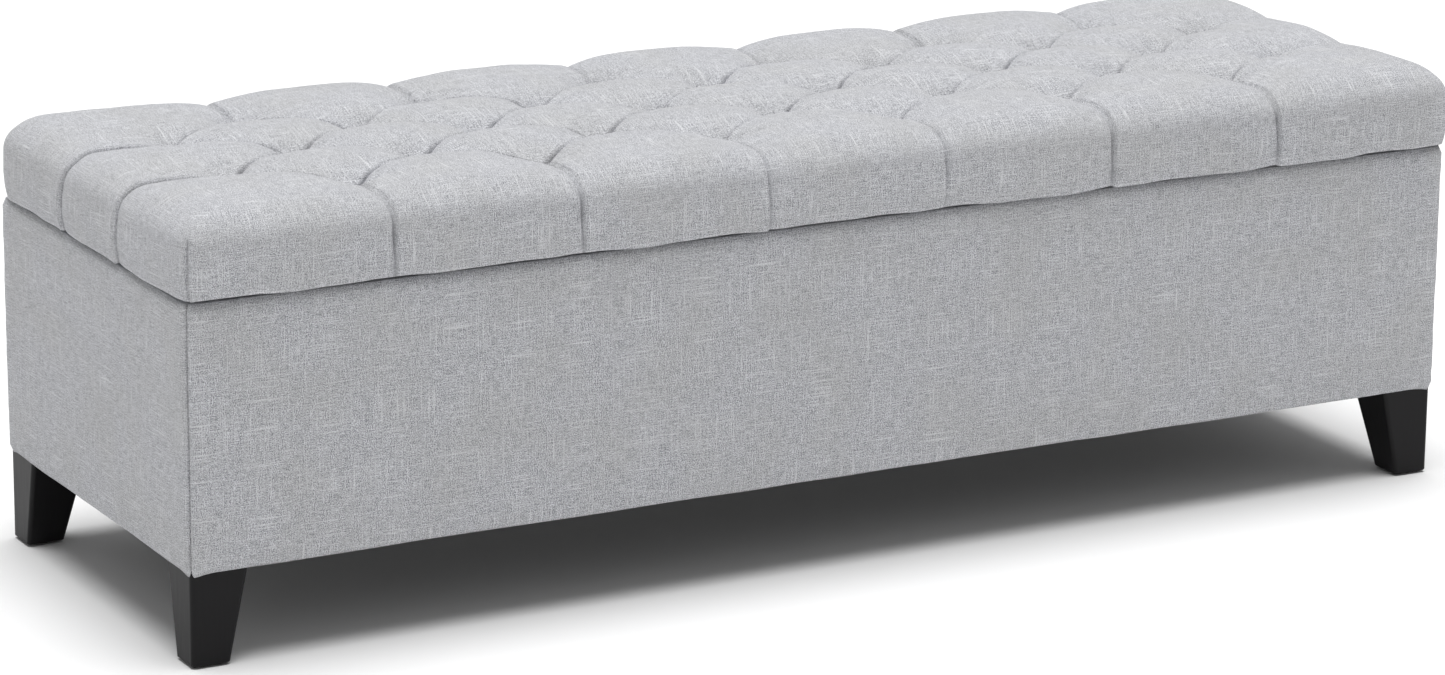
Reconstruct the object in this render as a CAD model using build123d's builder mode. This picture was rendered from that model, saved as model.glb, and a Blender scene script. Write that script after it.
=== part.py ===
"""Storage bench with a diamond-tufted lift-up lid, an upholstered box and four block legs.

Millimetres. X runs along the bench, the front faces -Y, Z is up. The origin is on the floor,
in the middle of the footprint.
"""

import os

from build123d import *

os.makedirs("parts", exist_ok=True)

# ---------------------------------------------------------------- driving dimensions

LENGTH = 1295.0
DEPTH = 428.0
LEG_HEIGHT = 86.0
RIM_HEIGHT = 323.5
LID_BOTTOM = 327.0
LID_TOP = 405.0

FABRIC = 1.5
PADDING = 5.0
BOARD = 12.0
LINING = 1.0
BASE_CORNER = 12.0

LID_SIDE_REACH = 3.0
LID_BACK_INSET = 5.0
LID_BOARD = 15.0
LID_WRAP = 4.0
LID_CORNER = 26.0
LID_EDGE_RADIUS = 20.0
LID_HEM = 25.0

TUFT_PITCH = 181.0
TUFT_ROW = 62.0
TUFT_DEPTH = 27.0
TUFT_MOUTH = 26.0
TUFT_FLOOR = 5.0

LEG_TOP = 54.0
LEG_FOOT = 36.0
LEG_INSET = 4.0
LEG_EDGE = 4.0
GLIDE = 2.0
GLIDE_RADIUS = 12.0

HINGE_PLACES = (-450.0, 0.0, 450.0)
HINGE_LENGTH = 60.0
LEAF = 1.5
KNUCKLES = 5
KNUCKLE_RADIUS = 3.25
PIN_RADIUS = 1.5

STAY_ARM = 2.5
STAY_ARM_WIDTH = 16.0
STAY_RIVET_RADIUS = 3.0
STAY_LID_REACH = 150.0
STAY_LID_DROP = 16.0
STAY_BASE_REACH = 70.0
STAY_BASE_DROP = 110.0

RUNNING_CLEARANCE = 0.05
OPEN_PIVOT_CLEARANCE = 0.35
BODY_GAP = 0.3

# ---------------------------------------------------------------- worked-out places

half_length = LENGTH / 2
half_depth = DEPTH / 2
board_face = FABRIC + PADDING
board_back = board_face + BOARD
lining_back = board_back + LINING
carcase_bottom = LEG_HEIGHT + FABRIC
carcase_top = RIM_HEIGHT - FABRIC
carcase_height = carcase_top - carcase_bottom
inner_x = half_length - board_back
inner_y = half_depth - board_back

pin_y = half_depth + 0.75 + KNUCKLE_RADIUS
pin_z = (RIM_HEIGHT + LID_BOTTOM) / 2
lid_back = half_depth - LID_BACK_INSET
lid_front = -(pin_y + KNUCKLE_RADIUS)
lid_depth = lid_back - lid_front
lid_y = (lid_back + lid_front) / 2
lid_length = LENGTH + 2 * LID_SIDE_REACH
lid_board_bottom = LID_BOTTOM + FABRIC
lid_board_top = lid_board_bottom + LID_BOARD

MITRE = 60.0
SIDES = ("front", "back", "left", "right")
ENDS = (("left", -1), ("right", 1))
CORNERS = (
    ("front_left", -1, -1),
    ("front_right", 1, -1),
    ("back_left", -1, 1),
    ("back_right", 1, 1),
)


def corner(inset):
    """Radius of the box's upright corner at a given depth under the fabric."""
    return max(BASE_CORNER - inset, 1.0)


def mitred_quarter(side):
    """Outline of one side of the box, cut at 45 degrees through the corners."""
    x, y = half_length, half_depth
    quarters = {
        "front": [(-x, -y), (x, -y), (x - MITRE, MITRE - y), (MITRE - x, MITRE - y)],
        "back": [(-x, y), (x, y), (x - MITRE, y - MITRE), (MITRE - x, y - MITRE)],
        "left": [(-x, -y), (-x, y), (MITRE - x, y - MITRE), (MITRE - x, MITRE - y)],
        "right": [(x, -y), (x, y), (x - MITRE, y - MITRE), (x - MITRE, MITRE - y)],
    }
    return quarters[side]


# ---------------------------------------------------------------- carcase boards

for name, sign in (("front_panel", -1), ("back_panel", 1)):
    board_y = sign * (half_depth - board_face - BOARD / 2)
    with BuildPart() as long_panel:
        with BuildSketch(Plane.XY.offset(carcase_bottom)):
            with Locations((0, board_y)):
                Rectangle(LENGTH - 2 * board_face, BOARD)
        extrude(amount=carcase_height)
        outer_edges = long_panel.edges().filter_by(Axis.Z).group_by(Axis.Y)
        fillet(outer_edges[0] if sign < 0 else outer_edges[-1], corner(board_face))
    long_panel.part.label = name
    export_step(long_panel.part, f"parts/{name}.step")

for name, sign in (("left_panel", -1), ("right_panel", 1)):
    with BuildPart() as end_panel:
        with BuildSketch(Plane.XY.offset(carcase_bottom)):
            with Locations((sign * (inner_x + BOARD / 2), 0)):
                Rectangle(BOARD, 2 * inner_y)
        extrude(amount=carcase_height)
    end_panel.part.label = name
    export_step(end_panel.part, f"parts/{name}.step")

CLEAT_WIDTH = 20.0
CLEAT_HEIGHT = 30.0
FLOOR_BOARD = 9.0
floor_level = carcase_bottom + CLEAT_HEIGHT

with BuildPart() as bottom_panel:
    with BuildSketch(Plane.XY.offset(floor_level)):
        Rectangle(2 * inner_x, 2 * inner_y)
    extrude(amount=FLOOR_BOARD)
bottom_panel.part.label = "bottom_panel"
export_step(bottom_panel.part, "parts/bottom_panel.step")

# Corner blocks take the legs: each has a hole for a tee nut, whose flange lies flush on top.
BLOCK = 60.0
BOLT_RADIUS = 4.0
BOLT_INSET = 20.0
TEE_RADIUS = 5.0
TEE_FLANGE_RADIUS = 10.0
TEE_FLANGE = 1.5
TEE_DEPTH = 15.0
bolt_places = [(sx * (inner_x - BOLT_INSET), sy * (inner_y - BOLT_INSET)) for _, sx, sy in CORNERS]
block_places = [(sx * (inner_x - BLOCK / 2), sy * (inner_y - BLOCK / 2)) for _, sx, sy in CORNERS]

with BuildPart() as corner_blocks:
    with BuildSketch(Plane.XY.offset(carcase_bottom)):
        with Locations(*block_places):
            Rectangle(BLOCK, BLOCK)
    extrude(amount=CLEAT_HEIGHT)
    with BuildSketch(Plane.XY.offset(carcase_bottom)):
        with Locations(*bolt_places):
            Circle(TEE_RADIUS + RUNNING_CLEARANCE)
    extrude(amount=CLEAT_HEIGHT, mode=Mode.SUBTRACT)
    with BuildSketch(Plane.XY.offset(floor_level - TEE_FLANGE)):
        with Locations(*bolt_places):
            Circle(TEE_FLANGE_RADIUS + RUNNING_CLEARANCE)
    extrude(amount=TEE_FLANGE, mode=Mode.SUBTRACT)
corner_blocks.part.label = "corner_blocks"
export_step(corner_blocks.part, "parts/corner_blocks.step")

cleat_x = inner_x - CLEAT_WIDTH / 2
cleat_y = inner_y - CLEAT_WIDTH / 2
with BuildPart() as floor_cleats:
    with BuildSketch(Plane.XY.offset(carcase_bottom)):
        with Locations((0, -cleat_y), (0, cleat_y)):
            Rectangle(2 * (inner_x - BLOCK), CLEAT_WIDTH)
        with Locations((-cleat_x, 0), (cleat_x, 0)):
            Rectangle(CLEAT_WIDTH, 2 * (inner_y - BLOCK))
    extrude(amount=CLEAT_HEIGHT)
floor_cleats.part.label = "floor_cleats"
export_step(floor_cleats.part, "parts/floor_cleats.step")

BRACE_WIDTH = 40.0
with BuildPart() as centre_brace:
    with BuildSketch(Plane.XY.offset(carcase_bottom)):
        Rectangle(BRACE_WIDTH, 2 * (inner_y - CLEAT_WIDTH))
    extrude(amount=CLEAT_HEIGHT)
centre_brace.part.label = "centre_brace"
export_step(centre_brace.part, "parts/centre_brace.step")

# The hinge rail thickens the top of the back board, where the hinge screws bite.
RAIL = 18.0
RAIL_HEIGHT = 30.0
RAIL_END_GAP = 20.0
with BuildPart() as hinge_rail:
    with BuildSketch(Plane.XY.offset(RIM_HEIGHT - RAIL_HEIGHT)):
        with Locations((0, inner_y - RAIL / 2)):
            Rectangle(2 * (inner_x - RAIL_END_GAP), RAIL)
    extrude(amount=RAIL_HEIGHT)
hinge_rail.part.label = "hinge_rail"
export_step(hinge_rail.part, "parts/hinge_rail.step")

# ---------------------------------------------------------------- box padding and cover

for side in SIDES:
    with BuildPart() as padding:
        with BuildSketch(Plane.XY.offset(carcase_bottom)):
            RectangleRounded(LENGTH - 2 * FABRIC, DEPTH - 2 * FABRIC, corner(FABRIC))
            RectangleRounded(
                LENGTH - 2 * board_face,
                DEPTH - 2 * board_face,
                corner(board_face),
                mode=Mode.SUBTRACT,
            )
            Polygon(*mitred_quarter(side), align=None, mode=Mode.INTERSECT)
        extrude(amount=carcase_height)
    padding.part.label = f"base_padding_{side}"
    export_step(padding.part, f"parts/base_padding_{side}.step")

# Each side's fabric is one cut piece: the face, a hem turned under the box, a turn over the rim
# and, except along the hinge rail, a turn down inside it. The four meet in the corner seams.
HEM = 17.0
TURN_DOWN = 30.0
rim_inset = board_back + FABRIC
face_layer = (0.0, FABRIC, LEG_HEIGHT, RIM_HEIGHT)
hem_layer = (FABRIC, HEM, LEG_HEIGHT, carcase_bottom)
rim_layer = (FABRIC, rim_inset, carcase_top, RIM_HEIGHT)
inside_layer = (board_back, rim_inset, RIM_HEIGHT - TURN_DOWN, carcase_top)
back_rim_layer = (FABRIC, board_back, carcase_top, RIM_HEIGHT)

for side in SIDES:
    layers = [face_layer, hem_layer, rim_layer, inside_layer]
    if side == "back":
        layers = [face_layer, hem_layer, back_rim_layer]
    with BuildPart() as base_cover:
        for outer, inner, low, high in layers:
            with BuildSketch(Plane.XY.offset(low)):
                RectangleRounded(LENGTH - 2 * outer, DEPTH - 2 * outer, corner(outer))
                RectangleRounded(
                    LENGTH - 2 * inner, DEPTH - 2 * inner, corner(inner), mode=Mode.SUBTRACT
                )
                Polygon(*mitred_quarter(side), align=None, mode=Mode.INTERSECT)
            extrude(amount=high - low)
    base_cover.part.label = f"base_cover_{side}"
    export_step(base_cover.part, f"parts/base_cover_{side}.step")

# ---------------------------------------------------------------- lining and dust cover

lining_bottom = floor_level + FLOOR_BOARD
lining_top = RIM_HEIGHT - TURN_DOWN - 0.5
with BuildPart() as storage_lining:
    with BuildSketch(Plane.XY.offset(lining_bottom)):
        Rectangle(2 * inner_x, 2 * inner_y)
    extrude(amount=lining_top - lining_bottom)
    with BuildSketch(Plane.XY.offset(lining_bottom + LINING)):
        Rectangle(2 * (inner_x - LINING), 2 * (inner_y - LINING))
    extrude(amount=lining_top - lining_bottom, mode=Mode.SUBTRACT)
storage_lining.part.label = "storage_lining"
export_step(storage_lining.part, "parts/storage_lining.step")

DUST_COVER = 0.8
with BuildPart() as dust_cover:
    with BuildSketch(Plane.XY.offset(LEG_HEIGHT)):
        RectangleRounded(LENGTH - 2 * HEM, DEPTH - 2 * HEM, corner(HEM))
        with Locations(*bolt_places):
            Circle(BOLT_RADIUS + BODY_GAP, mode=Mode.SUBTRACT)
    extrude(amount=DUST_COVER)
dust_cover.part.label = "dust_cover"
export_step(dust_cover.part, "parts/dust_cover.step")

# ---------------------------------------------------------------- legs, bolts and glides

# The two outer faces of a leg are upright, the two inner faces taper towards the floor.
leg_outer_x = half_length - LEG_INSET
leg_outer_y = half_depth - LEG_INSET
foot_places = [
    (sx * (leg_outer_x - LEG_FOOT / 2), sy * (leg_outer_y - LEG_FOOT / 2)) for _, sx, sy in CORNERS
]
top_places = [
    (sx * (leg_outer_x - LEG_TOP / 2), sy * (leg_outer_y - LEG_TOP / 2)) for _, sx, sy in CORNERS
]
BOLT_IN_LEG = 30.0
BOLT_IN_BLOCK = 27.0
NAIL_RADIUS = 1.5
NAIL_LENGTH = 12.0

for (name, _, _), foot, top, bolt in zip(CORNERS, foot_places, top_places, bolt_places):
    with BuildPart() as leg:
        with BuildSketch(Plane.XY.offset(GLIDE)):
            with Locations(foot):
                RectangleRounded(LEG_FOOT, LEG_FOOT, LEG_EDGE)
        with BuildSketch(Plane.XY.offset(LEG_HEIGHT)):
            with Locations(top):
                RectangleRounded(LEG_TOP, LEG_TOP, LEG_EDGE)
        loft()
        chamfer(leg.faces().sort_by(Axis.Z)[0].edges(), 1.0)
        with BuildSketch(Plane.XY.offset(LEG_HEIGHT - BOLT_IN_LEG)):
            with Locations(bolt):
                Circle(BOLT_RADIUS + RUNNING_CLEARANCE)
        extrude(amount=BOLT_IN_LEG, mode=Mode.SUBTRACT)
        with BuildSketch(Plane.XY.offset(GLIDE)):
            with Locations(foot):
                Circle(NAIL_RADIUS + RUNNING_CLEARANCE)
        extrude(amount=NAIL_LENGTH + BODY_GAP, mode=Mode.SUBTRACT)
    leg.part.label = f"leg_{name}"
    export_step(leg.part, f"parts/leg_{name}.step")

with BuildPart() as leg_bolts:
    with BuildSketch(Plane.XY.offset(LEG_HEIGHT - BOLT_IN_LEG)):
        with Locations(*bolt_places):
            Circle(BOLT_RADIUS)
    extrude(amount=BOLT_IN_LEG + BOLT_IN_BLOCK)
leg_bolts.part.label = "leg_bolts"
export_step(leg_bolts.part, "parts/leg_bolts.step")

with BuildPart() as leg_tee_nuts:
    with BuildSketch(Plane.XY.offset(floor_level - TEE_FLANGE - TEE_DEPTH)):
        with Locations(*bolt_places):
            Circle(TEE_RADIUS)
    extrude(amount=TEE_DEPTH)
    with BuildSketch(Plane.XY.offset(floor_level - TEE_FLANGE)):
        with Locations(*bolt_places):
            Circle(TEE_FLANGE_RADIUS)
    extrude(amount=TEE_FLANGE)
    with BuildSketch(Plane.XY.offset(floor_level - TEE_FLANGE - TEE_DEPTH)):
        with Locations(*bolt_places):
            Circle(BOLT_RADIUS + RUNNING_CLEARANCE)
    extrude(amount=TEE_DEPTH + TEE_FLANGE, mode=Mode.SUBTRACT)
leg_tee_nuts.part.label = "leg_tee_nuts"
export_step(leg_tee_nuts.part, "parts/leg_tee_nuts.step")

with BuildPart() as leg_glides:
    with BuildSketch():
        with Locations(*foot_places):
            Circle(GLIDE_RADIUS)
    extrude(amount=GLIDE)
    with BuildSketch(Plane.XY.offset(GLIDE)):
        with Locations(*foot_places):
            Circle(NAIL_RADIUS)
    extrude(amount=NAIL_LENGTH)
leg_glides.part.label = "leg_glides"
export_step(leg_glides.part, "parts/leg_glides.step")

# ---------------------------------------------------------------- butt hinges

LEAF_WIDTH = 34.0
KNUCKLE_GAP = 0.4
PIN_HEAD_RADIUS = 2.4
PIN_HEAD = 0.8
SCREW_HEAD_RADIUS = 3.4
SCREW_RADIUS = 1.75
SCREW_ROWS = (pin_y - 31.0, pin_y - 18.5)
SCREW_SPREAD = 18.0
leaf_edge = pin_y - KNUCKLE_RADIUS - KNUCKLE_GAP
knuckle_pitch = HINGE_LENGTH / KNUCKLES
screw_places = [
    (place + sign * SCREW_SPREAD, row)
    for place in HINGE_PLACES
    for sign in (-1, 1)
    for row in SCREW_ROWS
]


def knuckle_places(first):
    """Starts along X of every second knuckle, counted from the first one."""
    return [
        place - HINGE_LENGTH / 2 + index * knuckle_pitch + BODY_GAP / 2
        for place in HINGE_PLACES
        for index in range(first, KNUCKLES, 2)
    ]


for name, first, leaf_low in (
    ("hinge_base_leaves", 0, RIM_HEIGHT),
    ("hinge_lid_leaves", 1, LID_BOTTOM - LEAF),
):
    knuckle = knuckle_pitch - BODY_GAP
    with BuildPart() as leaves:
        with BuildSketch(Plane.XY.offset(leaf_low)):
            with Locations(*[(place, leaf_edge - LEAF_WIDTH / 2) for place in HINGE_PLACES]):
                Rectangle(HINGE_LENGTH, LEAF_WIDTH)
            for start in knuckle_places(first):
                with Locations((start + knuckle / 2, (leaf_edge + pin_y) / 2)):
                    Rectangle(knuckle, pin_y - leaf_edge)
        extrude(amount=LEAF)
        for start in knuckle_places(first):
            with BuildSketch(Plane.YZ.offset(start)):
                with Locations((pin_y, pin_z)):
                    Circle(KNUCKLE_RADIUS)
            extrude(amount=knuckle)
        for place in HINGE_PLACES:
            with BuildSketch(Plane.YZ.offset(place - HINGE_LENGTH / 2)):
                with Locations((pin_y, pin_z)):
                    Circle(PIN_RADIUS + RUNNING_CLEARANCE)
            extrude(amount=HINGE_LENGTH, mode=Mode.SUBTRACT)
        lower_radius = SCREW_RADIUS if first == 0 else SCREW_HEAD_RADIUS
        upper_radius = SCREW_HEAD_RADIUS if first == 0 else SCREW_RADIUS
        with Locations(*[(x, y, leaf_low + LEAF / 2) for x, y in screw_places]):
            Cone(
                lower_radius + RUNNING_CLEARANCE,
                upper_radius + RUNNING_CLEARANCE,
                LEAF,
                mode=Mode.SUBTRACT,
            )
    leaves.part.label = name
    export_step(leaves.part, f"parts/{name}.step")

with BuildPart() as hinge_pins:
    for place in HINGE_PLACES:
        with BuildSketch(Plane.YZ.offset(place - HINGE_LENGTH / 2)):
            with Locations((pin_y, pin_z)):
                Circle(PIN_RADIUS)
        extrude(amount=HINGE_LENGTH)
        for head_start in (place - HINGE_LENGTH / 2 - PIN_HEAD, place + HINGE_LENGTH / 2):
            with BuildSketch(Plane.YZ.offset(head_start)):
                with Locations((pin_y, pin_z)):
                    Circle(PIN_HEAD_RADIUS)
            extrude(amount=PIN_HEAD)
hinge_pins.part.label = "hinge_pins"
export_step(hinge_pins.part, "parts/hinge_pins.step")

HINGE_SCREW = 13.0
with BuildPart() as hinge_base_screws:
    with Locations(*[(x, y, RIM_HEIGHT + LEAF / 2) for x, y in screw_places]):
        Cone(SCREW_RADIUS, SCREW_HEAD_RADIUS, LEAF)
    with BuildSketch(Plane.XY.offset(RIM_HEIGHT - HINGE_SCREW)):
        with Locations(*screw_places):
            Circle(SCREW_RADIUS)
    extrude(amount=HINGE_SCREW)
hinge_base_screws.part.label = "hinge_base_screws"
export_step(hinge_base_screws.part, "parts/hinge_base_screws.step")

with BuildPart() as hinge_lid_screws:
    with Locations(*[(x, y, LID_BOTTOM - LEAF / 2) for x, y in screw_places]):
        Cone(SCREW_HEAD_RADIUS, SCREW_RADIUS, LEAF)
    with BuildSketch(Plane.XY.offset(LID_BOTTOM)):
        with Locations(*screw_places):
            Circle(SCREW_RADIUS)
    extrude(amount=HINGE_SCREW)
hinge_lid_screws.part.label = "hinge_lid_screws"
export_step(hinge_lid_screws.part, "parts/hinge_lid_screws.step")

# ---------------------------------------------------------------- rim bumpers

BUMPER_RADIUS = 5.0
rim_middle = (FABRIC + rim_inset) / 2
bumper_places = [
    (430.0, rim_middle - half_depth),
    (-430.0, rim_middle - half_depth),
    (half_length - rim_middle, 120.0),
    (half_length - rim_middle, -120.0),
    (rim_middle - half_length, 120.0),
    (rim_middle - half_length, -120.0),
]
with BuildPart() as rim_bumpers:
    with BuildSketch(Plane.XY.offset(RIM_HEIGHT)):
        with Locations(*bumper_places):
            Circle(BUMPER_RADIUS)
    extrude(amount=LID_BOTTOM - RIM_HEIGHT - BODY_GAP)
    fillet(rim_bumpers.edges().filter_by(GeomType.CIRCLE).group_by(Axis.Z)[-1], 1.0)
rim_bumpers.part.label = "rim_bumpers"
export_step(rim_bumpers.part, "parts/rim_bumpers.step")

# ---------------------------------------------------------------- staples

STAPLE_CROWN = 10.0
STAPLE_WIRE = 1.0
STAPLE_THICKNESS = 0.5
STAPLE_LEG = 8.0


def staple_row(middles, along_x):
    """Crowns and legs of a row of staples, as plan rectangles round each middle point."""
    wide, deep = (STAPLE_CROWN, STAPLE_WIRE) if along_x else (STAPLE_WIRE, STAPLE_CROWN)
    reach = (STAPLE_CROWN - STAPLE_WIRE) / 2
    legs = []
    for x, y in middles:
        for sign in (-1, 1):
            legs.append((x + sign * reach, y) if along_x else (x, y + sign * reach))
    return wide, deep, legs


def staples(level, front_y, back_y, end_x, end_rows, front_columns, back_columns):
    """Staples whose crowns hang below a level and whose legs stand up into the wood."""
    rows = [
        ([(x, front_y) for x in front_columns] + [(x, back_y) for x in back_columns], True),
        ([(sign * end_x, y) for y in end_rows for sign in (-1, 1)], False),
    ]
    with BuildPart() as group:
        for middles, along_x in rows:
            wide, deep, legs = staple_row(middles, along_x)
            with BuildSketch(Plane.XY.offset(level - STAPLE_THICKNESS)):
                with Locations(*middles):
                    Rectangle(wide, deep)
            extrude(amount=STAPLE_THICKNESS)
            with BuildSketch(Plane.XY.offset(level)):
                with Locations(*legs):
                    Rectangle(STAPLE_WIRE, STAPLE_WIRE)
            extrude(amount=STAPLE_LEG)
    return group.part


STAPLE_COLUMNS = [80.0 * step for step in range(-7, 8)]
BASE_STAPLE_ROWS = (-120.0, -60.0, 0.0, 60.0, 120.0)
LID_STAPLE_ROWS = (-180.0, -60.0, 0.0, 60.0, 170.0)
HINGE_KEEP_OUT = 50.0
base_staple_inset = board_back - 4.0
lid_staple_inset = 18.0
lid_back_columns = [
    x for x in STAPLE_COLUMNS if min(abs(x - place) for place in HINGE_PLACES) > HINGE_KEEP_OUT
]

base_staples = staples(
    LEG_HEIGHT,
    base_staple_inset - half_depth,
    half_depth - base_staple_inset,
    half_length - base_staple_inset,
    BASE_STAPLE_ROWS,
    STAPLE_COLUMNS,
    STAPLE_COLUMNS,
)
base_staples.label = "base_staples"
export_step(base_staples, "parts/base_staples.step")

lid_staples = staples(
    LID_BOTTOM,
    lid_front + lid_staple_inset,
    lid_back - lid_staple_inset,
    lid_length / 2 - lid_staple_inset,
    LID_STAPLE_ROWS,
    STAPLE_COLUMNS,
    lid_back_columns,
)
lid_staples.label = "lid_staples"
export_step(lid_staples, "parts/lid_staples.step")

# ---------------------------------------------------------------- lid pad

# Five rows of tufts, six and seven in turn, half a pitch apart: the diamonds of the top.
tuft_places = []
for row in range(-2, 3):
    columns = 6 if row % 2 == 0 else 7
    for column in range(columns):
        tuft_x = (column - (columns - 1) / 2) * TUFT_PITCH
        tuft_places.append((tuft_x, lid_y + row * TUFT_ROW))

TIE_RADIUS = 1.0
TIE_HOLE_RADIUS = 2.5
ANCHOR_RADIUS = 5.5
ANCHOR = 2.3
ANCHOR_RECESS = 3.0
tuft_bottom = LID_TOP - TUFT_DEPTH


def padded_block(inset, bottom):
    """The lid's outer form at a depth under its fabric, with a conical well at every tuft."""
    top = LID_TOP - inset
    with BuildPart() as block:
        with BuildSketch(Plane.XY.offset(bottom)):
            with Locations((0, lid_y)):
                RectangleRounded(lid_length - 2 * inset, lid_depth - 2 * inset, LID_CORNER - inset)
        extrude(amount=top - bottom)
        fillet(block.faces().sort_by(Axis.Z)[-1].edges(), LID_EDGE_RADIUS - inset)
        with Locations(*[(x, y, top - TUFT_DEPTH / 2) for x, y in tuft_places]):
            Cone(TUFT_FLOOR + inset, TUFT_MOUTH + inset, TUFT_DEPTH, mode=Mode.SUBTRACT)
    return block.part


def lid_board_outline():
    """Plan of the lid board, which lies inside the foam's turned-down edge."""
    inset = FABRIC + LID_WRAP
    with BuildSketch(Plane.XY.offset(lid_board_bottom)) as outline:
        with Locations((0, lid_y)):
            RectangleRounded(lid_length - 2 * inset, lid_depth - 2 * inset, LID_CORNER - inset)
    return outline.sketch


with BuildPart() as lid_board:
    with BuildSketch(Plane.XY.offset(lid_board_bottom)):
        add(lid_board_outline())
        with Locations(*tuft_places):
            Circle(TIE_HOLE_RADIUS, mode=Mode.SUBTRACT)
    extrude(amount=LID_BOARD)
    with BuildSketch(Plane.XY.offset(lid_board_bottom)):
        with Locations(*tuft_places):
            Circle(ANCHOR_RADIUS + BODY_GAP)
    extrude(amount=ANCHOR_RECESS, mode=Mode.SUBTRACT)
lid_board.part.label = "lid_board"
export_step(lid_board.part, "parts/lid_board.step")

# The foam lies on the board and is turned down round its edge.
with BuildPart() as lid_foam:
    add(padded_block(FABRIC, lid_board_bottom))
    with BuildSketch(Plane.XY.offset(lid_board_bottom)):
        add(lid_board_outline())
    extrude(amount=LID_BOARD, mode=Mode.SUBTRACT)
    with BuildSketch(Plane.XY.offset(lid_board_top)):
        with Locations(*tuft_places):
            Circle(TIE_HOLE_RADIUS)
    extrude(amount=LID_TOP - lid_board_top, mode=Mode.SUBTRACT)
lid_foam.part.label = "lid_foam"
export_step(lid_foam.part, "parts/lid_foam.step")

with BuildPart() as lid_cover:
    add(padded_block(0.0, LID_BOTTOM))
    add(padded_block(FABRIC, lid_board_bottom), mode=Mode.SUBTRACT)
    with BuildSketch(Plane.XY.offset(LID_BOTTOM)):
        with Locations((0, lid_y)):
            Rectangle(lid_length - 2 * LID_HEM, lid_depth - 2 * LID_HEM)
    extrude(amount=FABRIC, mode=Mode.SUBTRACT)
lid_cover.part.label = "lid_cover"
export_step(lid_cover.part, "parts/lid_cover.step")

with BuildPart() as lid_lining:
    with BuildSketch(Plane.XY.offset(lid_board_bottom - LINING)):
        with Locations((0, lid_y)):
            Rectangle(lid_length - 2 * LID_HEM, lid_depth - 2 * LID_HEM)
    extrude(amount=LINING)
lid_lining.part.label = "lid_lining"
export_step(lid_lining.part, "parts/lid_lining.step")

anchor_top = lid_board_bottom + ANCHOR
with BuildPart() as tuft_anchors:
    with BuildSketch(Plane.XY.offset(lid_board_bottom)):
        with Locations(*tuft_places):
            Circle(ANCHOR_RADIUS)
    extrude(amount=ANCHOR)
tuft_anchors.part.label = "tuft_anchors"
export_step(tuft_anchors.part, "parts/tuft_anchors.step")

with BuildPart() as tuft_ties:
    with BuildSketch(Plane.XY.offset(anchor_top)):
        with Locations(*tuft_places):
            Circle(TIE_RADIUS)
    extrude(amount=tuft_bottom - FABRIC - anchor_top)
tuft_ties.part.label = "tuft_ties"
export_step(tuft_ties.part, "parts/tuft_ties.step")

# ---------------------------------------------------------------- lid stays

# Each stay is a parallelogram: the lower arm turns with the lid, the upper arm keeps its
# slope. Its pieces lie side by side, from the end panel inwards.
lid_pivot = (pin_y - STAY_LID_REACH, pin_z - STAY_LID_DROP)
base_pivot = (pin_y - STAY_BASE_REACH, pin_z - STAY_BASE_DROP)
elbow = (lid_pivot[0] - STAY_BASE_REACH, lid_pivot[1] - STAY_BASE_DROP)

bracket_x = half_length - lining_back - STAY_ARM
lower_arm_x = bracket_x - BODY_GAP - STAY_ARM
upper_arm_x = lower_arm_x - BODY_GAP - STAY_ARM
lid_bracket_x = upper_arm_x - BODY_GAP - STAY_ARM
RIVET_HEAD_RADIUS = 5.0
RIVET_HEAD = 1.2
FIXED_CLEARANCE = 0.03
BRACKET_WIDTH = 30.0
BRACKET_HEIGHT = 64.0
BRACKET_CORNER = 8.0
BRACKET_SCREW_OFFSET = 22.0
STAY_SCREW_HEAD = 1.6
STAY_SCREW = 10.0


def end_plane(sign, inner, thickness):
    """Upright plane at one end of the bench, from which a layer is extruded towards +X."""
    return Plane.YZ.offset(inner if sign > 0 else -inner - thickness)


def stay_arm(sign, inner, start, finish, start_radius, finish_radius):
    """A flat arm with rounded ends and a hole at each pivot."""
    span = Vector(finish[0] - start[0], finish[1] - start[1])
    middle = ((start[0] + finish[0]) / 2, (start[1] + finish[1]) / 2)
    slope = Vector(1, 0, 0).get_signed_angle(span, Vector(0, 0, 1))
    with BuildPart() as arm:
        with BuildSketch(end_plane(sign, inner, STAY_ARM)):
            with Locations(middle):
                SlotCenterToCenter(span.length, STAY_ARM_WIDTH, rotation=slope)
            with Locations(start):
                Circle(start_radius, mode=Mode.SUBTRACT)
            with Locations(finish):
                Circle(finish_radius, mode=Mode.SUBTRACT)
        extrude(amount=STAY_ARM)
    return arm.part


def rivet(sign, pivot, shank_inner, shank_outer, heads):
    """A rivet along X: its shank, and a head at each of the stated inner faces."""
    with BuildPart() as body:
        shank = shank_outer - shank_inner
        with BuildSketch(end_plane(sign, shank_inner, shank)):
            with Locations(pivot):
                Circle(STAY_RIVET_RADIUS)
        extrude(amount=shank)
        for head_inner in heads:
            with BuildSketch(end_plane(sign, head_inner, RIVET_HEAD)):
                with Locations(pivot):
                    Circle(RIVET_HEAD_RADIUS)
            extrude(amount=RIVET_HEAD)
    return body.part


pivot_hole = STAY_RIVET_RADIUS + RUNNING_CLEARANCE
fixed_hole = STAY_RIVET_RADIUS + FIXED_CLEARANCE
elbow_hole = STAY_RIVET_RADIUS + OPEN_PIVOT_CLEARANCE

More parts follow.
